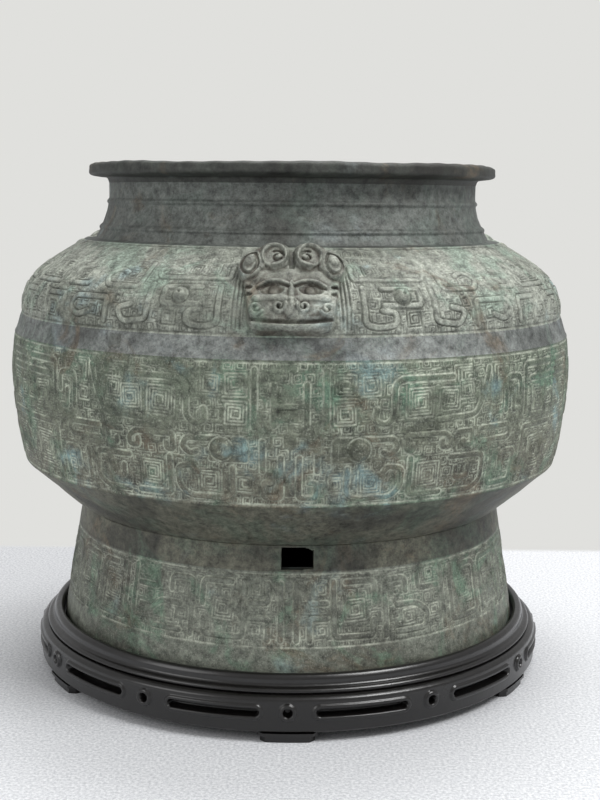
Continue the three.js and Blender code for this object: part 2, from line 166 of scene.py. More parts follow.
def revolved(name, line, angles, relief=None, closed=True, groove=None, drop=None):
    """A line turned about the axis and pushed out by a relief, one value a point."""
    line = np.array(line, float)
    out = normals_of(line)
    shape = (len(line), len(angles))
    lift = np.zeros(shape) if relief is None else relief
    radius = line[:, :1] + out[:, :1] * lift
    level = line[:, 1:] + out[:, 1:] * lift + np.zeros(shape)
    turn = np.asarray(angles)[None, :] + np.zeros(shape)
    points = np.stack([radius * np.sin(turn), -radius * np.cos(turn), level], -1).reshape(-1, 3)
    faces = grid_faces(*shape, closed)
    if drop is not None:
        keep = ~drop(turn, level).ravel()[faces].all(axis=1)
        faces = faces[keep]
    values = np.zeros(shape) if groove is None else groove
    return build_mesh(name, points, faces, {"groove": values})


def full_turn(count):
    return np.arange(count) * 2 * math.pi / count


def unevenness(turn, level, size=0.22):
    """Slow swells of a hand-made mould, the same each run."""
    total = np.zeros(np.broadcast(turn, level).shape)
    for k, (waves, pitch, phase) in enumerate([(3, 61, 0.3), (7, 37, 1.9), (13, 23, 4.1), (29, 13, 2.2), (47, 9, 5.0)]):
        total += np.sin(waves * turn + level / pitch * 6.28 + phase) * np.cos(level / pitch * 3.1 + waves) / (1 + 0.5 * k)
    return total * size


# Ornament: every motif is a line on the unrolled band, u across and v up, in millimetres
def square_coil(u, v, reach, turns=2.0, quarter=0, way=1):
    """A square spiral, from its outer end inward, a corner at each quarter turn."""
    count = int(4 * turns) + 1
    corners = []
    for k in range(count + 1):
        angle = math.pi / 4 + way * (quarter + k) * math.pi / 2
        size = reach * (1 - 0.86 * k / (count + 1)) * math.sqrt(2)
        corners.append((u + size * math.cos(angle), v + size * math.sin(angle)))
    return rounded(corners, 0.5)


def ladder(u0, u1, v0, v1, pitch):
    """Nested upright hooks that fill a panel, like the ribs of a wing."""
    lines = []
    for k in range(int((u1 - u0) / pitch)):
        left = u0 + k * pitch
        lines.append(rounded([(left, v0), (left, v1 - k * pitch * 0.6), (u1, v1 - k * pitch * 0.6)], 0.6))
    return lines


def belly_motif():
    """Half of the belly's mask, as plain strips and fine coils; the mirror half follows at negative u."""
    strips = [
        rounded([(13.5, 19), (13.5, 34)]), rounded([(4.5, 26), (4.5, 5), (13, 5), (13, 13), (9.5, 13)]),
        np.array([(8, 42), (8, 62)]), np.array([(0, 51.5), (8, 51.5)]), np.array([(17.5, 41), (17.5, 69)]),
        rounded([(22, 26), (22, 34.6), (52, 34.6), (54, 30), (50, 26.5), (46.5, 28)]),
        rounded([(22, 24.5), (39, 24.5)]),
        rounded([(62.5, 31), (62.5, 28), (59, 28), (59, 36), (80, 36), (84, 33), (84, 28.6), (79, 28.6), (79, 32)]),
        rounded([(92, 31), (92, 28.6), (97.5, 28.6), (97.5, 36), (89, 36)]),
        rounded([(104, 36.4), (124, 36.4), (126.4, 33), (124, 29.6), (104, 29.6)]),
        rounded([(84, 64), (55, 64), (51.5, 61), (51.5, 45), (47, 41.6), (41.5, 44), (42.5, 49.5)], 3),
        rounded([(108, 67), (104, 54), (99, 44), (76, 43)], 4),
        rounded([(121, 44), (121, 61), (133, 61), (133, 52)], 3), rounded([(127, 52), (127, 43.5), (132, 43.5)]),
        rounded([(138, 41), (138, 66), (166, 66)], 3), np.array([(144, 58.5), (168, 58.5)]),
        rounded([(138, 4), (138, 33), (168, 33)], 3),
        rounded([(28.5, 20), (28.5, 6), (34, 4), (52, 4.6), (57, 10), (57, 19.4), (49, 20.6), (46.5, 17)], 3),
        rounded([(61.5, 24), (61.5, 5), (80, 5)], 2.5),
        rounded([(85, 23), (106, 23), (107, 9), (101, 4.4), (87, 4.4)], 3), rounded([(89, 17), (89, 11.5), (97, 11.5), (97, 17)]),
        rounded([(113, 23), (113, 5), (131, 5), (131, 22), (121, 22), (121, 13)], 2.5),
    ]
    coils = [
        square_coil(26.8, 47.6, 6.2, 3.2), square_coil(26.8, 61.8, 6.2, 3.2, 1, -1), square_coil(39.5, 61.5, 5.2, 2.6, 2),
        square_coil(40.6, 12.6, 6.6, 3.4, 1), square_coil(65.5, 52.6, 8.2, 4.2, 1), square_coil(82.5, 53.0, 6.6, 3.4, 2, -1),
        square_coil(93.0, 57, 5.2, 2.8), square_coil(71.6, 15.2, 6.9, 3.6, 3), square_coil(114, 52, 4.4, 2.2, 1),
        square_coil(127.2, 12.5, 3.0, 1.5), square_coil(153.5, 18.4, 9.6, 4.8, 2), square_coil(152, 47.5, 7.6, 3.8, 1, -1),
        square_coil(22.6, 12, 4.6, 2.4, 2), square_coil(165, 47.5, 4.6, 2.4, 2),
    ]
    return strips, coils + ladder(85, 96, 61.5, 69.5, 2.2) + ladder(110, 118, 60, 69.5, 2.2)


def shoulder_motif():
    strips = [
        rounded([(32, 41), (32, 31), (72, 31), (75, 36), (68, 38.5), (62, 36.5)], 2.5),
        rounded([(36, 26), (36, 6), (44, 4.4), (52, 6), (52, 12), (45, 13)], 3),
        rounded([(46, 25), (66, 25), (66, 15.5), (46, 15.5)]),
        rounded([(74, 26), (74, 7), (88, 5), (92, 12), (84, 14)], 3),
        rounded([(82, 41), (82, 24), (104, 24), (108, 30), (102, 36), (95, 33)], 3),
        rounded([(100, 5), (100, 17), (124, 17), (127, 10), (120, 6.4), (112, 9)], 3),
        rounded([(118, 41), (118, 24), (137, 24), (137, 34), (127, 36)], 3), rounded([(134, 5), (134, 17), (152, 17)], 3),
        rounded([(146, 41), (146, 24), (168, 24)], 3), np.array([(166, 5), (166, 17)]),
    ]
    coils = [
        square_coil(61.5, 8.6, 4.8, 2.4), square_coil(93.5, 16.5, 3.0, 1.5, 1), square_coil(91, 31.4, 4.2, 2.0, 2),
        square_coil(109, 10.0, 3.4, 1.6, 1), square_coil(128, 29.8, 3.6, 1.8, 2, -1), square_coil(144, 8.6, 5.0, 2.4, 1),
        square_coil(157, 33.2, 6.4, 3.2, 1), square_coil(158.4, 9.2, 4.4, 2.2, 2), square_coil(111, 38, 3.2, 1.5),
        square_coil(43, 37.8, 4.2, 2.0, 1), square_coil(53, 37.8, 4.2, 2.0, 2),
    ]
    return strips, coils + ladder(24.4, 31, 4, 40, 2.2)


def foot_motif():
    strips = [
        np.array([(4.2, 5), (4.2, 34)]), rounded([(11, 34), (11, 24), (20, 24)]), rounded([(11, 5), (11, 16), (20, 16)]),
        rounded([(24, 35), (24, 6), (46, 6), (46, 14)], 3), rounded([(31, 34.4), (47, 34.4), (47, 22)], 3),
        rounded([(53, 5), (53, 34), (66, 34), (66, 27)], 3), rounded([(60, 6), (78, 6), (80, 14), (72, 20), (60, 20)], 3),
        rounded([(74, 35), (74, 27), (88, 27)], 3), np.array([(91.5, 4), (91.5, 36)]),
        rounded([(98, 34.5), (98, 6), (121, 6), (121, 34), (108, 34)], 3), rounded([(127, 5), (127, 34), (137, 34)], 3),
    ]
    coils = [
        square_coil(35.6, 20.4, 6.4, 3.2, 1), square_coil(67.4, 13.0, 4.4, 2.2), square_coil(84, 14, 4.2, 2.0, 2),
        square_coil(109.6, 20.4, 7.4, 3.8, 2), square_coil(134.2, 20, 4.6, 2.2, 1), square_coil(82.6, 34, 3.2, 1.5),
        square_coil(17.4, 10, 2.8, 1.4), square_coil(17.4, 31.4, 3.4, 1.6, 1), square_coil(60.4, 27.6, 2.4, 1.2),
    ]
    return strips, coils


def distance_to(lines, u, v, reach):
    """Distance from each grid point to the nearest line, up to a reach."""
    nearest = np.full((len(v), len(u)), reach, float)
    for line in lines:
        for start, end in zip(line[:-1], line[1:]):
            low, high = np.minimum(start, end) - reach, np.maximum(start, end) + reach
            c0, c1 = np.searchsorted(u, [low[0], high[0]])
            r0, r1 = np.searchsorted(v, [low[1], high[1]])
            if c0 >= c1 or r0 >= r1:
                continue
            along = end - start
            du = u[None, c0:c1] - start[0]
            dv = v[r0:r1, None] - start[1]
            t = np.clip((du * along[0] + dv * along[1]) / (along @ along + 1e-9), 0, 1)
            gap = np.hypot(du - t * along[0], dv - t * along[1])
            window = nearest[r0:r1, c0:c1]
            np.minimum(window, gap, out=window)
    return nearest


def smooth(edge0, edge1, x):
    t = np.clip((x - edge0) / (edge1 - edge0), 0, 1)
    return t * t * (3 - 2 * t)


def cloud_ground(width, height, cell, seed):
    """The small square spirals that fill the ground between the motifs."""
    rng = np.random.default_rng(seed)
    lines = []
    for row in range(int(height / cell) + 1):
        for column in range(int(width / cell) + 1):
            u = (column + 0.5 + 0.5 * (row % 2)) * cell + rng.normal(0, 0.15)
            v = (row + 0.5) * cell + rng.normal(0, 0.15)
            way = 1 if rng.random() < 0.6 else -1
            lines.append(square_coil(u, v, cell * 0.45, 1.5, int(rng.integers(4)), way))
    return lines


def ornament(motif, bosses, radius, height, rows, columns, seed):
    """Relief and groove mask for one mask's sector, mirrored about its middle."""
    strips, coils = motif
    half = columns // 2
    u = np.linspace(0, math.pi * radius / MASKS, half + 1)
    v = np.linspace(0, height, rows)
    strip = distance_to(strips, u, v, 3.4)
    coil = distance_to(coils, u, v, 1.9)
    ground = distance_to(cloud_ground(u[-1], height, GROUND_CELL, seed), u, v, 1.0)
    border = 1 - smooth(0.22, 0.62, np.abs(strip - STRIP_HALF))
    winding = (1 - smooth(0.22, 0.6, coil)) * smooth(STRIP_HALF, STRIP_HALF + 0.3, strip)
    open_ground = smooth(STRIP_HALF + 0.4, STRIP_HALF + 0.8, strip) * smooth(1.2, 1.5, coil)
    fill = (1 - smooth(0.12, 0.42, ground)) * open_ground * 0.85
    groove = np.maximum(np.maximum(border, winding), fill)
    edge = np.minimum(v, height - v)[:, None]
    inside = smooth(1.6, 2.2, edge)
    groove = np.maximum(groove * inside, 1 - smooth(0.25, 0.65, np.abs(edge - 1.3)))
    lift = -GROOVE_DEPTH * groove + 0.25 * (1 - smooth(1.0, STRIP_HALF, strip)) * inside
    for boss_u, boss_v, ring, dome in bosses:
        gap = np.hypot(u[None, :] - boss_u, v[:, None] - boss_v)
        near = gap < ring + 0.8
        ball = np.sqrt(np.clip(1 - (gap / dome) ** 2, 0, 1)) * 3.4
        pupil = -1.1 * (1 - smooth(0.5, 1.1, gap))
        rim = -GROOVE_DEPTH * (1 - smooth(0.25, 0.6, np.abs(gap - ring)))
        lift = np.where(near, ball + rim + pupil, lift)
        groove = np.where(near, np.clip(-rim / GROOVE_DEPTH + (gap < 0.9), 0, 1), groove)
    return tuple(np.concatenate([half_map[:, :0:-1], half_map], 1) for half_map in (lift, groove))


def decorated_band(name, line, motif, bosses, radius, columns, seed, finish, halves=2):
    """Three sectors of one band, each centred on its mask and cut into pieces of a fair size."""
    line = resample(line, GRID_STEP)
    height = float(np.sum(np.linalg.norm(np.diff(line, axis=0), axis=1)))
    lift, groove = ornament(motif, bosses, radius, height, len(line), columns, seed)
    fade = np.sin(np.linspace(0, math.pi, len(line)))[:, None]
    levels = line[:, 1][:, None]
    span = (lift.shape[1] - 1) // halves
    for k in range(MASKS):
        angles = k * SECTOR + np.linspace(-SECTOR / 2, SECTOR / 2, lift.shape[1])
        worn = 0.72 + 0.28 * np.sin(angles[None, :] * 5 + levels / 9 + k)
        relief = lift * np.where(lift < 0, worn, 1) + unevenness(angles[None, :], levels) * fade
        # Groove mask for the finish: a pale deposit on the belly and foot bands, painted shade in the incised lines of
        # the shoulder band
        groove_dust_and_shade = groove * (0.6 + 0.4 * worn)
        for part in range(halves):
            cut = slice(part * span, (part + 1) * span + 1)
            label = f"{name}_{k * halves + part + 1}"
            piece = revolved(label, line, angles[cut], relief[:, cut], False, groove_dust_and_shade[:, cut])
            finish_piece(piece, finish, "jar", "bronze_patina", "jar_body")


def finish_piece(piece, material, body, slot, *nodes):
    piece.data.materials.clear()
    piece.data.materials.append(material)
    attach(piece, body)
    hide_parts(*nodes)


# Shader groups
def new_group(name, inputs, outputs):
    group = bpy.data.node_groups.new(name, "ShaderNodeTree")
    for label, kind, default in inputs:
        socket = group.interface.new_socket(name=label, in_out="INPUT", socket_type=kind)
        socket.default_value = default
    for label, kind in outputs:
        group.interface.new_socket(name=label, in_out="OUTPUT", socket_type=kind)
    return group, group.nodes.new("NodeGroupInput"), group.nodes.new("NodeGroupOutput")


def noise(nodes, links, vector, scale, detail=5.0, roughness=0.6, distortion=0.0):
    node = nodes.new("ShaderNodeTexNoise")
    node.inputs["Scale"].default_value = scale
    node.inputs["Detail"].default_value = detail
    node.inputs["Roughness"].default_value = roughness
    node.inputs["Distortion"].default_value = distortion
    links.new(vector, node.inputs["Vector"])
    return node.outputs["Fac"]


def stepped(nodes, links, value, low, high):
    node = nodes.new("ShaderNodeMapRange")
    node.interpolation_type = "SMOOTHSTEP"
    node.inputs["From Min"].default_value = low
    node.inputs["From Max"].default_value = high
    links.new(value, node.inputs["Value"])
    return node.outputs["Result"]


def blended(nodes, links, factor, first, second, mode="MIX"):
    node = nodes.new("ShaderNodeMix")
    node.data_type = "RGBA"
    node.blend_type = mode
    for value, socket in ((factor, node.inputs[0]), (first, node.inputs[6]), (second, node.inputs[7])):
        if isinstance(value, bpy.types.NodeSocket):
            links.new(value, socket)
        else:
            socket.default_value = value
    return node.outputs[2]


def scaled(nodes, links, value, by):
    node = nodes.new("ShaderNodeMath")
    node.operation = "MULTIPLY"
    links.new(value, node.inputs[0])
    if isinstance(by, bpy.types.NodeSocket):
        links.new(by, node.inputs[1])
    else:
        node.inputs[1].default_value = by
    return node.outputs[0]


def srgb(r, g, b):
    linear = [c / 255 / 12.92 if c / 255 <= 0.04045 else ((c / 255 + 0.055) / 1.055) ** 2.4 for c in (r, g, b)]
    return (*linear, 1.0)


def patina_group():
    """Old bronze: a base tone, dark and green patches, a groove tone that is a pale deposit where it is light and
    painted shade where it is dark, and fine pitting.
    """
    group, given, out = new_group("old_bronze_patina", [
        ("Base", "NodeSocketColor", srgb(100, 105, 98)), ("Dark", "NodeSocketColor", srgb(60, 62, 60)),
        ("Green", "NodeSocketColor", srgb(88, 122, 104)), ("Blue", "NodeSocketColor", srgb(120, 140, 145)),
        ("Groove Tone", "NodeSocketColor", srgb(150, 156, 144)), ("Groove Strength", "NodeSocketFloat", 0.8),
        ("Green Amount", "NodeSocketFloat", 0.5), ("Green Above", "NodeSocketFloat", 0.0),
        ("Brown", "NodeSocketColor", srgb(96, 84, 68))],
        [("Color", "NodeSocketColor"), ("Roughness", "NodeSocketFloat"), ("Height", "NodeSocketFloat")])
    nodes, links = group.nodes, group.links
    place = nodes.new("ShaderNodeTexCoord").outputs["Object"]
    broad = stepped(nodes, links, noise(nodes, links, place, 17, 4, 0.55, 0.4), 0.48, 0.64)
    patch = stepped(nodes, links, noise(nodes, links, place, 31, 6, 0.62, 0.8), 0.50, 0.64)
    blue = stepped(nodes, links, noise(nodes, links, place, 24, 5, 0.6, 0.3), 0.57, 0.69)
    mottle = noise(nodes, links, place, 210, 9, 0.82)
    specks = stepped(nodes, links, noise(nodes, links, place, 900, 3, 0.7), 0.54, 0.66)
    tone = blended(nodes, links, scaled(nodes, links, broad, 0.7), given.outputs["Base"], given.outputs["Dark"])
    split = nodes.new("ShaderNodeSeparateXYZ")
    links.new(place, split.inputs[0])
    high = scaled(nodes, links, stepped(nodes, links, split.outputs["Z"], 0.13, 0.19), given.outputs["Green Above"])
    reach = nodes.new("ShaderNodeMath")
    reach.operation = "MULTIPLY_ADD"
    links.new(patch, reach.inputs[0])
    links.new(given.outputs["Green Amount"], reach.inputs[1])
    links.new(high, reach.inputs[2])
    green = reach.outputs[0]
    tone = blended(nodes, links, green, tone, given.outputs["Green"])
    tone = blended(nodes, links, scaled(nodes, links, blue, 0.7), tone, given.outputs["Blue"])
    rust = stepped(nodes, links, noise(nodes, links, place, 21, 7, 0.7, 1.2), 0.54, 0.70)
    tone = blended(nodes, links, scaled(nodes, links, rust, 0.75), tone, given.outputs["Brown"])
    groove = nodes.new("ShaderNodeAttribute")
    groove.attribute_name = "groove"
    dust_and_shade_amount = scaled(nodes, links, groove.outputs["Fac"], given.outputs["Groove Strength"])
    uneven = stepped(nodes, links, noise(nodes, links, place, 70, 4, 0.6), 0.34, 0.6)
    # Groove tone laid in by the groove attribute: a pale deposit on the belly and foot bands, painted shade on the
    # shoulder band and the animal heads
    tone = blended(nodes, links, scaled(nodes, links, dust_and_shade_amount, uneven), tone, given.outputs["Groove Tone"])
    shade = nodes.new("ShaderNodeMapRange")
    shade.inputs["From Min"].default_value = 0.36
    shade.inputs["From Max"].default_value = 0.64
    shade.inputs["To Min"].default_value = 0.3
    shade.inputs["To Max"].default_value = 1.74
    links.new(mottle, shade.inputs["Value"])
    grey = nodes.new("ShaderNodeCombineColor")
    for channel in range(3):
        links.new(shade.outputs["Result"], grey.inputs[channel])
    tone = blended(nodes, links, 1.0, tone, grey.outputs["Color"], "MULTIPLY")
    tone = blended(nodes, links, scaled(nodes, links, specks, 0.45), tone, given.outputs["Dark"])
    grains = stepped(nodes, links, noise(nodes, links, place, 1250, 2, 0.6), 0.56, 0.68)
    tone = blended(nodes, links, scaled(nodes, links, grains, 0.35), tone, given.outputs["Groove Tone"])
    links.new(tone, out.inputs["Color"])
    rough = nodes.new("ShaderNodeMapRange")
    rough.inputs["To Min"].default_value = 0.42
    rough.inputs["To Max"].default_value = 0.72
    links.new(mottle, rough.inputs["Value"])
    links.new(rough.outputs["Result"], out.inputs["Roughness"])
    height = nodes.new("ShaderNodeMath")
    height.operation = "MULTIPLY_ADD"
    links.new(specks, height.inputs[0])
    height.inputs[1].default_value = -0.5
    links.new(mottle, height.inputs[2])
    links.new(height.outputs[0], out.inputs["Height"])
    return group


PATINA = patina_group()


def shader(name, group=None):
    material = bpy.data.materials.new(name)
    material.use_nodes = True
    nodes, links = material.node_tree.nodes, material.node_tree.links
    surface = nodes["Principled BSDF"]
    placed = None
    if group is not None:
        placed = nodes.new("ShaderNodeGroup")
        placed.node_tree = group
        links.new(placed.outputs["Color"], surface.inputs["Base Color"])
        links.new(placed.outputs["Roughness"], surface.inputs["Roughness"])
        bump = nodes.new("ShaderNodeBump")
        bump.inputs["Distance"].default_value = 0.0004
        bump.inputs["Strength"].default_value = 0.45
        links.new(placed.outputs["Height"], bump.inputs["Height"])
        links.new(bump.outputs["Normal"], surface.inputs["Normal"])
    return material, surface, placed


def bronze(name, base, dark, green, blue, groove, strength, amount, above=0.0):
    material, surface, placed = shader(name, PATINA)
    surface.inputs["Metallic"].default_value = 0.25
    for label, colour in (("Base", base), ("Dark", dark), ("Green", green), ("Blue", blue), ("Groove Tone", groove)):
        placed.inputs[label].default_value = srgb(*colour)
    placed.inputs["Groove Strength"].default_value = strength
    placed.inputs["Green Amount"].default_value = amount
    placed.inputs["Green Above"].default_value = above
    return material


def lacquer_group():
    group, given, out = new_group("worn_lacquer", [("Tone", "NodeSocketColor", srgb(8, 7, 7))],
                                  [("Color", "NodeSocketColor"), ("Roughness", "NodeSocketFloat"), ("Height", "NodeSocketFloat")])
    nodes, links = group.nodes, group.links
    place = nodes.new("ShaderNodeTexCoord").outputs["Object"]
    grain = noise(nodes, links, place, 90, 5, 0.6, 1.5)
    tone = blended(nodes, links, scaled(nodes, links, grain, 0.35), given.outputs["Tone"], srgb(22, 18, 16))
    links.new(tone, out.inputs["Color"])
    rough = nodes.new("ShaderNodeMapRange")
    rough.inputs["To Min"].default_value = 0.20
    rough.inputs["To Max"].default_value = 0.42
    links.new(noise(nodes, links, place, 45, 4, 0.6), rough.inputs["Value"])
    links.new(rough.outputs["Result"], out.inputs["Roughness"])
    links.new(grain, out.inputs["Height"])
    return group


def lacquer():
    material, surface, _ = shader("dark_lacquer", lacquer_group())
    surface.inputs["Coat Weight"].default_value = 0.25
    surface.inputs["Coat Roughness"].default_value = 0.18
    return material


NECK_BRONZE = bronze("neck_bronze", (94, 98, 94), (58, 58, 54), (88, 102, 94), (122, 132, 132), (108, 110, 104), 0.3, 0.35)
RIM_BRONZE = bronze("rim_bronze", (56, 58, 54), (34, 32, 28), (70, 78, 70), (84, 92, 92), (60, 60, 56), 0.3, 0.25)
# Shoulder: pale base, partly its own pale patina and partly painted top light; its dark groove tone paints shade into
# the incised grooves and the boss ring
SHOULDER_BRONZE = bronze("shoulder_bronze", (148, 152, 142), (104, 108, 98), (128, 154, 138), (146, 166, 166),
                         (66, 68, 60), 0.9, 0.45)
PLAIN_BRONZE = bronze("plain_band_bronze", (116, 120, 117), (66, 68, 66), (92, 110, 98), (118, 128, 130), (80, 82, 80), 0.3, 0.3)
BELLY_BRONZE = bronze("belly_bronze", (98, 98, 86), (58, 58, 50), (86, 118, 98), (112, 140, 142), (184, 190, 174), 0.95, 0.5, 0.25)
UNDERCUT_BRONZE = bronze("undercut_bronze", (94, 94, 82), (46, 46, 42), (78, 98, 84), (96, 106, 106), (70, 72, 70), 0.3, 0.35)
FOOT_BRONZE = bronze("foot_bronze", (106, 110, 100), (72, 72, 64), (92, 124, 102), (128, 144, 140), (168, 172, 158), 0.85, 0.55)
INNER_BRONZE = bronze("inner_bronze", (70, 74, 72), (46, 48, 46), (66, 80, 72), (84, 92, 92), (60, 60, 60), 0.2, 0.3)
# Head: light base with a dark groove tone; the head's groove attribute turns these into painted shade in hollows and
# painted highlight on crests
HEAD_BRONZE = bronze("head_bronze", (156, 160, 150), (96, 98, 90), (116, 140, 122), (134, 150, 148), (66, 60, 52), 0.9, 0.45)
LACQUER = lacquer()


# Jar
def foot_window(grow=0.0):
    """True inside the holes at the top of the foot."""
    def inside(turn, level):
        across = ((turn + SECTOR / 2) % SECTOR - SECTOR / 2 - HOLE_TURN) * 125.0
        low = WAIST - 12.5 - grow
        high = WAIST - 1.0 + grow - 1.4 * smooth(4.5, 8.7, across)
        return (np.abs(across) < 8.7 + grow) & (level > low) & (level < high)
    return inside


def neck_line():
    rise = np.linspace(0.6, 32, 60)
    radius = NECK_RADIUS + 8.5 * np.clip(1 - rise / 26.25, 0, 1) ** 2
    for ridge in (7.35, 21.7):
        radius += 1.1 * np.clip(1 - ((rise - ridge) / 1.5) ** 2, 0, 1)
    return np.vstack([[(NECK_BASE_RADIUS, SHOULDER_TOP)], np.stack([radius, SHOULDER_TOP + rise], 1)])


def rim_line():
    return rounded([(NECK_RADIUS, SHOULDER_TOP + 32), (NECK_RADIUS + 1, RIM_BOTTOM), (RIM_RADIUS - 2.6, RIM_BOTTOM + 0.9),
                    (RIM_RADIUS, RIM_BOTTOM + 2.0), (RIM_RADIUS, RIM_TOP - 1.2), (RIM_RADIUS - 2.4, RIM_TOP),
                    (NECK_RADIUS + 3, RIM_TOP - 0.2), (NECK_RADIUS - WALL + 2, RIM_TOP - 0.2),
                    (NECK_RADIUS - WALL, RIM_TOP - 3)], 1.2)


def inner_line():
    throat = [(NECK_RADIUS - WALL, RIM_TOP - 3), (NECK_RADIUS - WALL, SHOULDER_TOP + 12)]
    shoulder = bezier([(NECK_BASE_RADIUS - 6.4, SHOULDER_TOP - 3.2), (NECK_BASE_RADIUS + 26, SHOULDER_TOP - 19),
                       (SHOULDER_RADIUS - WALL, SHOULDER_BASE + 17.4), (SHOULDER_RADIUS - WALL, SHOULDER_BASE)], 30)
    belly = bezier([(BELLY_TOP_RADIUS - WALL, BELLY_TOP - 4), (BELLY_RADIUS - 3.4, KEEL + 51),
                    (BELLY_RADIUS - 3.4, KEEL + 31), (KEEL_RADIUS - 4.4, KEEL + 2.4)], 30)
    bowl = bezier([(KEEL_RADIUS - 7.6, KEEL - 3), (KEEL_RADIUS - 14, KEEL - 10),
                   (WAIST_RADIUS + 9, WAIST + 8), (WAIST_RADIUS - 3, WAIST + 4)], 20)
    floor = [(WAIST_RADIUS - 14, WAIST - 1.2), (WAIST_RADIUS * 0.55, WAIST - 6.6), (0.05, WAIST - 8)]
    return np.vstack([throat, shoulder, belly, bowl, floor])


def underside_line():
    return np.array([(0.05, WAIST - 12), (WAIST_RADIUS * 0.55, WAIST - 10.6), (WAIST_RADIUS - 14, WAIST - 5.4),
                     (WAIST_RADIUS - 4.5, WAIST - 1.6)])


def foot_inner_line():
    return np.array([(WAIST_RADIUS - 4.5, WAIST - 1.6), (FOOT_RADIUS - WALL - 5, FOOT_BOTTOM + 35),
                     (FOOT_RADIUS - WALL, FOOT_BOTTOM), (FOOT_RADIUS - 0.6, FOOT_BOTTOM), (FOOT_RADIUS, FOOT_BOTTOM + 0.8)])


def plain_zone(name, line, material, columns=768, window=None, swell=0.22, step=1.0):
    line = resample(line, step)
    angles = full_turn(columns)
    fade = np.sin(np.linspace(0, math.pi, len(line)))[:, None]
    relief = unevenness(angles[None, :], line[:, 1][:, None], swell) * fade
    piece = revolved(name, line, angles, relief, True, None, window)
    finish_piece(piece, material, "jar", "bronze_patina", "jar_body")
    return piece


def make_jar():
    window = foot_window()
    plain_zone("jar_neck", neck_line(), NECK_BRONZE, step=0.6)
    plain_zone("jar_rim", rim_line(), RIM_BRONZE, swell=0.4, step=0.6)
    plain_zone("jar_inner_wall", inner_line(), INNER_BRONZE, columns=384, step=2.0)
    plain_zone("jar_plain_band", bezier([(BELLY_TOP_RADIUS, BELLY_TOP), (BELLY_TOP_RADIUS - 1.2, BELLY_TOP + 1.5),
                                         (SHOULDER_RADIUS + 1.2, SHOULDER_BASE - 3), (SHOULDER_RADIUS, SHOULDER_BASE)], 20),
               PLAIN_BRONZE)
    plain_zone("jar_undercut", np.vstack([UNDERCUT_LINE, [(KEEL_RADIUS, KEEL)]]), UNDERCUT_BRONZE)
    plain_zone("jar_foot_hem", between(FOOT_LINE, FOOT_BOTTOM + 0.8, FOOT_BAND_LOW), FOOT_BRONZE, swell=0.3)
    upper = plain_zone("jar_foot_top", between(FOOT_LINE, FOOT_BAND_HIGH, WAIST), UNDERCUT_BRONZE, 1536, window, step=0.5)
    wall = upper.modifiers.new("wall", "SOLIDIFY")
    wall.thickness = WALL * MM
    wall.offset = -1
    plain_zone("jar_floor_underside", underside_line(), INNER_BRONZE, columns=384, step=2.0)
    plain_zone("jar_hollow_foot", foot_inner_line(), INNER_BRONZE, 1536, foot_window(0.3), step=1.2)
    belly_bosses = [(34, 29.6, 6.2, 5.2)]
    decorated_band("belly_band", BELLY_LINE, belly_motif(), belly_bosses, 163, 801, 3, BELLY_BRONZE)
    decorated_band("shoulder_band", SHOULDER_LINE, shoulder_motif(), [(56.5, 20.4, 4.6, 3.7)], 156, 769, 5, SHOULDER_BRONZE)
    decorated_band("foot_band", between(FOOT_LINE, FOOT_BAND_LOW, FOOT_BAND_HIGH), foot_motif(), [], 132, 649, 7, FOOT_BRONZE, 1)


# Animal heads, sculpted as heights over the face plane: u across, v up the slope
HEAD_HALF_WIDTH = 27.0
HEAD_HALF_LENGTH = 25.0
HEAD_PROUD = 8.5
HEAD_STEP = 0.32
CROWN = np.array([NECK_BASE_RADIUS + 12, SHOULDER_TOP + 2])
CHIN = np.array([SHOULDER_RADIUS - 1, SHOULDER_BASE + 2])


def bump_at(u, v, cu, cv, ru, rv, lean=0.0):
    """A smooth dome of unit height, mirrored through |u|."""
    du, dv = np.abs(u) - cu, v - cv
    turned_u = du * math.cos(lean) + dv * math.sin(lean)
    turned_v = -du * math.sin(lean) + dv * math.cos(lean)
    return np.sqrt(np.clip(1 - (turned_u / ru) ** 2 - (turned_v / rv) ** 2, 0, 1))


def curl_line(cu, cv, reach, start, turns):
    t = np.linspace(0, 1, 36)
    angle = math.radians(start) + t * turns * 2 * math.pi
    size = reach * (1 - 0.72 * t)
    return np.stack([cu + size * np.cos(angle), cv + size * np.sin(angle)], 1)


def ridge_along(lines, us, vs, width, both=True):
    """Unit-height cords along lines, mirrored about the middle of the face."""
    reach = distance_to(lines + ([l * [-1, 1] for l in lines] if both else []), us, vs, width + 0.1)
    return np.sqrt(np.clip(1 - (reach / width) ** 2, 0, 1))


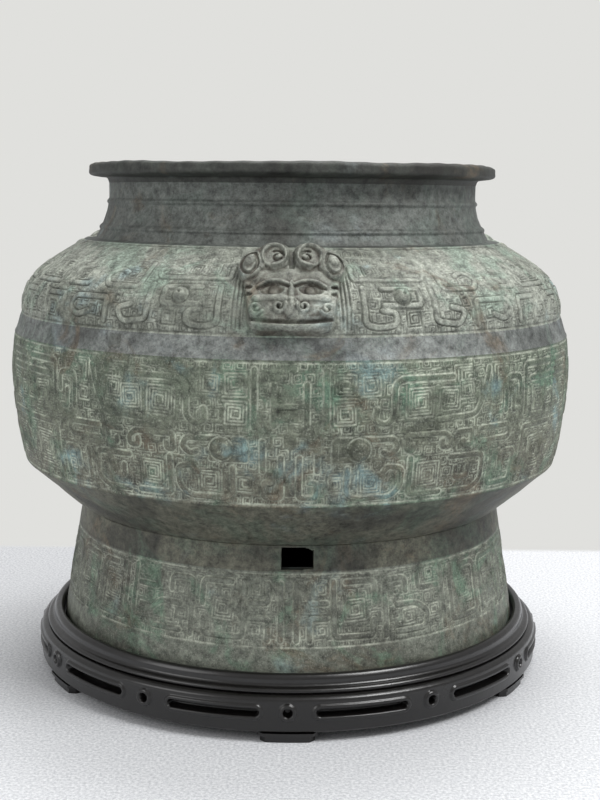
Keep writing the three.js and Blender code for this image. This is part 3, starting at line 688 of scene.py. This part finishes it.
def head_heights(us, vs):
    """Heights over the face plane, the mask's inside, and how dark each point is: painted shade in the hollows, painted
    shadow and a dark stain in the mouth, dark pupils, and painted highlight on the crests.
    """
    u, v = np.meshgrid(us, vs)
    side = np.abs(u)

    def cut(lines, width):
        return ridge_along(lines, us, vs, width)

    body = np.interp(v, [-25.4, -24.4, -23, -20, -14, -8, -1, 6, 8.5, 25], [0.6, 3.5, 6.6, 7.6, 8.4, 6.6, 5.2, 4.9, 3.6, 2.6])
    heights = body * (1 - 0.26 * (side / 27) ** 2)
    ear = 3.9 * bump_at(u, v, 20.4, 11.2, 6.6, 9.6, 0.42) + 1.6 * bump_at(u, v, 20.4, 12.8, 2.6, 3.9, 0.42)
    horn = rounded([(14.8, 10), (15.4, 18), (11.6, 23), (6, 23.6), (2.8, 20), (3.0, 11.5), (8.6, 9.6)], 4)
    horn_fill = smooth(0.0, 1.2, 7.4 - np.hypot((side - 8.6) * 1.05, (v - 16.4) * 0.94))
    heights = heights + np.maximum(ear, 1.8 * horn_fill + 1.9 * cut([horn], 1.9))
    ear_rim = rounded([(17.6, 17.4), (16.2, 10), (20.0, 4.4), (24, 6), (25, 11), (21.8, 15.8), (17.6, 17.4)], 3)
    hook = curl_line(7.0, 15.4, 3.8, 60, 1.05)
    heights = heights - 1.6 * cut([ear_rim], 0.9) + 1.8 * bump_at(u, v, 6.4, 14.6, 2.4, 2.4) - 1.3 * cut([hook], 0.75)
    heights = heights - 2.2 * (1 - smooth(0.7, 1.6, side)) * smooth(8.4, 10, v)
    brow = rounded([(1.2, -0.8), (6, 1.5), (12, 1.1), (16.4, -1.9)], 3)
    heights = heights + 1.1 * cut([brow], 1.0) - 1.0 * cut([brow - [0, 1.6]], 0.8)
    heights = heights - 2.4 * bump_at(u, v, 9.4, -3.9, 6.0, 3.5, -0.05) + 1.6 * bump_at(u, v, 8.8, -3.9, 2.5, 2.5)
    for level in (-2.0, -6.2):
        heights = heights - 2.4 * bump_at(u, v, 21.2, level, 2.4, 1.2)
    heights = heights + 2.6 * bump_at(u, v, 0, -14.8, 3.8, 5.4) + 2.0 * bump_at(u, v, 0, -6.6, 1.7, 8.4)
    cheek = rounded([(3.0, -9.8), (9, -8.4), (17, -9.2)], 3)
    heights = heights + 1.3 * cut([cheek], 2.2)
    nostril, jowl = curl_line(6.0, -14.1, 3.2, 150, 1.1), curl_line(17.0, -14.7, 3.3, -150, 1.1)
    heights = heights + 1.7 * cut([nostril, jowl], 1.0) - 1.0 * bump_at(u, v, 6.0, -14.1, 1.1, 1.1)
    lip = rounded([(0, -23.4), (10, -23.0), (19.4, -21.8)], 3)
    heights = heights + 1.4 * cut([lip], 0.9) - 1.6 * cut([lip + [0, 2.1]], 0.9)
    edge = np.interp(v, [-25, -23.6, -21, -15, -9, -1, 2, 5, 10, 15, 19, 25.5],
                     [15, 19.6, 21, 21.8, 22.6, 23.4, 24, 25.6, 26.9, 25.6, 22, 12])
    top = 18.8 + 6.6 * np.sqrt(np.clip(1 - ((side - 12) / 17) ** 2, 0, 1)) - 1.8 * (1 - smooth(0.5, 2.6, side))
    inside = smooth(-0.2, 1.3, edge - side) * smooth(-25.6, -24.4, v) * smooth(-0.2, 1.4, top - v)
    blur = sum(np.roll(heights, step, axis) for step in (-5, 5) for axis in (0, 1)) / 4
    # Mouth zone darkened: painted shadow under the snout together with a dark stain
    mouth = smooth(15.5, 18.5, -v) * (1 - 0.8 * smooth(22, 22.8, -v)) * smooth(22, 14, side)
    pupils = bump_at(u, v, 8.8, -3.9, 2.4, 2.4) > 0.1
    gap = (1 - smooth(0.7, 1.6, side)) * smooth(8.4, 10, v)
    # Painted shade: darker where the heights sit below their blur, in the hollows; the next line lightens the crests as
    # painted highlight and sets the pupils dark
    painted_shade_and_highlight = np.clip((blur - heights) * 1.2, 0, 1) + 0.75 * mouth + 0.3 - 0.5 * gap
    painted_shade_and_highlight = np.where(pupils, 0.85, painted_shade_and_highlight - np.clip((heights - blur) * 0.9, 0, 0.7))
    return heights * inside, inside, np.clip(painted_shade_and_highlight, 0, 1)


def shoulder_rise(vs):
    """How far the jar's shoulder stands off the face plane at each step down the face."""
    middle, run = (CROWN + CHIN) / 2, (CROWN - CHIN) / np.linalg.norm(CROWN - CHIN)
    out = np.array([run[1], -run[0]])
    line = np.vstack([SHOULDER_LINE, neck_line()[1:40]]) - middle
    along, off = line @ run, line @ out
    order = np.argsort(along)
    return np.interp(vs, along[order], off[order]), middle, run, out


def make_head(k, node):
    us = np.arange(-HEAD_HALF_WIDTH - 2, HEAD_HALF_WIDTH + 2.01, HEAD_STEP)
    vs = np.arange(-HEAD_HALF_LENGTH - 2, HEAD_HALF_LENGTH + 2.01, HEAD_STEP)
    heights, inside, painted_shade_and_highlight = head_heights(us, vs)
    rise, middle, run, out = shoulder_rise(vs)
    chord = 152.0
    drop = (us ** 2) / (2 * chord) * out[0]
    off = rise[:, None] * (0.35 * inside + (1 - inside)) - drop[None, :] * (1 - inside * 0.75) - 1.2 * (1 - inside) + heights
    radius = middle[0] + run[0] * vs[:, None] + out[0] * off
    level = middle[1] + run[1] * vs[:, None] + out[1] * off
    flat = np.stack([np.broadcast_to(us[None, :], off.shape), -radius, level], -1).reshape(-1, 3)
    turn = k * SECTOR
    spin = np.array([[math.cos(turn), -math.sin(turn), 0], [math.sin(turn), math.cos(turn), 0], [0, 0, 1]])
    faces = grid_faces(len(vs), len(us), False)
    faces = faces[inside.ravel()[faces].max(axis=1) > 0.0]
    used, renumbered = np.unique(faces, return_inverse=True)
    # The head's groove attribute carries its painted shade in hollows and mouth and its painted highlight on crests
    piece = build_mesh(f"{node}_cast", (flat @ spin.T)[used], renumbered.reshape(-1, 4), {"groove": painted_shade_and_highlight.ravel()[used]})
    finish_piece(piece, HEAD_BRONZE, "jar", "bronze_head", node)


def make_chaplets():
    for k in range(3):
        node = f"chaplet_{k + 1}"
        low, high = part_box(node)
        centre = (low + high) / (2 * MM)
        turn = math.atan2(centre.x, -centre.y)
        us = np.linspace(-4.4, 4.4, 23)
        vs = np.linspace(-4.0, 4.0, 21)
        u, v = np.meshgrid(us, vs)
        pad = smooth(0, 1.4, 4.4 - np.abs(u) + 0.3 * np.sin(v * 2)) * smooth(0, 1.4, 4.0 - np.abs(v) + 0.3 * np.sin(u * 2))
        radius = np.interp(centre.z + v, [BELLY_TOP, SHOULDER_BASE], [BELLY_TOP_RADIUS, SHOULDER_RADIUS]) - 0.4 + 0.9 * pad
        angle = turn + u / 160
        points = np.stack([radius * np.sin(angle), -radius * np.cos(angle), centre.z + v], -1).reshape(-1, 3)
        piece = build_mesh(f"{node}_patch", points, grid_faces(len(vs), len(us), False), {"groove": 0.5 * (1 - pad)})
        finish_piece(piece, NECK_BRONZE, "jar", "bronze_patina", node)


# Stand
APRON_RADIUS = 150.0
BOSSES = 12
PIERCE_LEVEL = APRON_LOW.z + 11.2


def apron_relief(angles, levels):
    """Beaded slots and drilled bosses, repeated round the apron."""
    pitch = 2 * math.pi / BOSSES
    boss_u = ((angles + pitch / 2) % pitch - pitch / 2) * APRON_RADIUS
    slot_u = (angles % pitch - pitch / 2) * APRON_RADIUS
    rise = levels[:, None] - PIERCE_LEVEL
    gap = np.hypot(boss_u[None, :], rise)
    boss = 1.5 * np.sqrt(np.clip(1 - ((gap - 3.3) / 1.5) ** 2, 0, 1)) - 4.5 * (1 - smooth(1.9, 2.5, gap))
    reach = math.radians(9.3) * APRON_RADIUS - 1.9
    slot = np.hypot(np.clip(np.abs(slot_u)[None, :] - reach, 0, None), rise)
    bead = 1.2 * np.sqrt(np.clip(1 - ((slot - 3.1) / 1.3) ** 2, 0, 1)) - 5.0 * (1 - smooth(1.5, 2.2, slot))
    return boss + bead


def make_stand():
    top, low = APRON_HIGH.z, APRON_LOW.z
    face = resample([(APRON_RADIUS, low + 1.2), (APRON_RADIUS, top - 3.4)], 0.35)
    angles = full_turn(1920)
    lower = revolved("apron_face", face, angles, apron_relief(angles, face[:, 1]))
    cap = rounded([(APRON_RADIUS, top - 3.4), (APRON_RADIUS - 0.3, top - 1.6), (APRON_RADIUS - 2.2, top), (136.2, top)])
    under = rounded([(123, low + 12), (123, low), (APRON_RADIUS - 1.2, low), (APRON_RADIUS, low + 1.2)])
    upper = revolved("apron_cap", cap, full_turn(384))
    base = revolved("apron_underside", under, full_turn(384))
    for piece in (lower, upper, base):
        finish_piece(piece, LACQUER, "stand", "dark_wood", "stand_apron")
    inner, outer = FOOT_RADIUS + 1.5, RING_HIGH.x
    bottom, crest = RING_LOW.z, RING_HIGH.z
    ring = rounded([(inner, bottom), (outer - 0.2, bottom), (outer, bottom + 1.3), (outer - 1, bottom + 2.4),
                    (inner + 6.6, bottom + 2.7), (inner + 5.6, bottom + 3.8), (inner + 5.5, crest - 2.2), (inner + 4.2, crest - 0.4),
                    (inner + 2.6, crest), (inner + 1.2, crest - 0.4), (inner, crest - 2.2), (inner, bottom)])
    finish_piece(revolved("bead_ring", ring, full_turn(512)), LACQUER, "stand", "dark_wood", "stand_top_ring")
    board = rounded([(0.05, BOARD_TOP - 6), (135.4, BOARD_TOP - 6), (135.8, BOARD_TOP - 5.4), (135.8, BOARD_TOP - 0.6),
                     (135.2, BOARD_TOP), (0.05, BOARD_TOP)], 2)
    finish_piece(revolved("seat_board", board, full_turn(256)), LACQUER, "stand", "dark_wood", "stand_seat_board")


def carry_over_nodes():
    """The feet and the hidden pegs keep their own solids."""
    for name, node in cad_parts.items():
        if name.startswith(("stand_foot", "stand_dowel")):
            node.data.materials.clear()
            node.data.materials.append(LACQUER)


# Floor, light and camera
WALL_TONE = srgb(224, 224, 221)
BACKDROP_FROM = 0.215


def make_stage():
    bpy.ops.mesh.primitive_plane_add(size=12)
    floor = bpy.context.object
    floor.name = "floor"
    material, surface, _ = shader("felt_floor")
    nodes, links = material.node_tree.nodes, material.node_tree.links
    place = nodes.new("ShaderNodeTexCoord").outputs["Object"]
    fibre = stepped(nodes, links, noise(nodes, links, place, 620, 5, 0.7), 0.30, 0.72)
    split = nodes.new("ShaderNodeSeparateXYZ")
    links.new(place, split.inputs[0])
    far = stepped(nodes, links, split.outputs["Y"], BACKDROP_FROM, BACKDROP_FROM + 0.012)
    links.new(blended(nodes, links, fibre, srgb(186, 188, 192), srgb(236, 237, 239)), surface.inputs["Base Color"])
    wall = nodes.new("ShaderNodeEmission")
    wall.inputs["Color"].default_value = WALL_TONE
    path = nodes.new("ShaderNodeLightPath")
    mix = nodes.new("ShaderNodeMixShader")
    links.new(scaled(nodes, links, far, path.outputs["Is Camera Ray"]), mix.inputs[0])
    links.new(surface.outputs[0], mix.inputs[1])
    links.new(wall.outputs[0], mix.inputs[2])
    links.new(mix.outputs[0], nodes["Material Output"].inputs["Surface"])
    surface.inputs["Roughness"].default_value = 0.95
    floor.data.materials.append(material)


def make_world():
    world = bpy.data.worlds.new("studio")
    bpy.context.scene.world = world
    world.use_nodes = True
    nodes, links = world.node_tree.nodes, world.node_tree.links
    sky = nodes["Background"]
    sky.inputs["Color"].default_value = (1, 1, 1, 1)
    sky.inputs["Strength"].default_value = 0.5
    wall = nodes.new("ShaderNodeBackground")
    wall.inputs["Color"].default_value = WALL_TONE
    wall.inputs["Strength"].default_value = 1.0
    path = nodes.new("ShaderNodeLightPath")
    mix = nodes.new("ShaderNodeMixShader")
    links.new(path.outputs["Is Camera Ray"], mix.inputs[0])
    links.new(sky.outputs[0], mix.inputs[1])
    links.new(wall.outputs[0], mix.inputs[2])
    links.new(mix.outputs[0], nodes["World Output"].inputs[0])


def softbox(name, place, target, width, height, power):
    data = bpy.data.lights.new(name, "AREA")
    data.shape = "RECTANGLE"
    data.size, data.size_y = width, height
    data.energy = power
    lamp = bpy.data.objects.new(name, data)
    lamp.location = place
    lamp.rotation_euler = (Vector(target) - Vector(place)).to_track_quat("-Z", "Y").to_euler()
    bpy.context.scene.collection.objects.link(lamp)


def make_lights():
    centre = (0, 0, 0.15)
    softbox("key", (0.9, -0.7, 1.4), centre, 0.7, 0.6, 20)
    softbox("fill", (-1.2, -0.9, 0.8), centre, 0.8, 0.9, 6)
    softbox("top", (0.1, 0.4, 1.5), centre, 0.9, 0.6, 14)


def make_camera():
    pitch, yaw, roll = math.radians(8.95), math.radians(-0.42), math.radians(0.6)
    data = bpy.data.cameras.new("camera")
    data.sensor_fit = "VERTICAL"
    data.sensor_height = 36
    data.lens = 36 * 1297 / 800
    camera = bpy.data.objects.new("camera", data)
    turn = Matrix.Rotation(yaw, 4, "Z") @ Matrix.Rotation(math.pi / 2 - pitch, 4, "X") @ Matrix.Rotation(roll, 4, "Z")
    camera.matrix_world = Matrix.Translation((0, -0.7753, 0.276)) @ turn
    bpy.context.scene.collection.objects.link(camera)
    bpy.context.scene.camera = camera


make_camera()
make_world()
make_lights()
make_stage()
make_jar()
for index, head_node in enumerate(("animal_head_front", "animal_head_back_right", "animal_head_back_left")):
    make_head(index, head_node)
make_chaplets()
make_stand()
carry_over_nodes()
bpy.context.scene.view_settings.view_transform = "Standard"

bpy.context.view_layer.update()
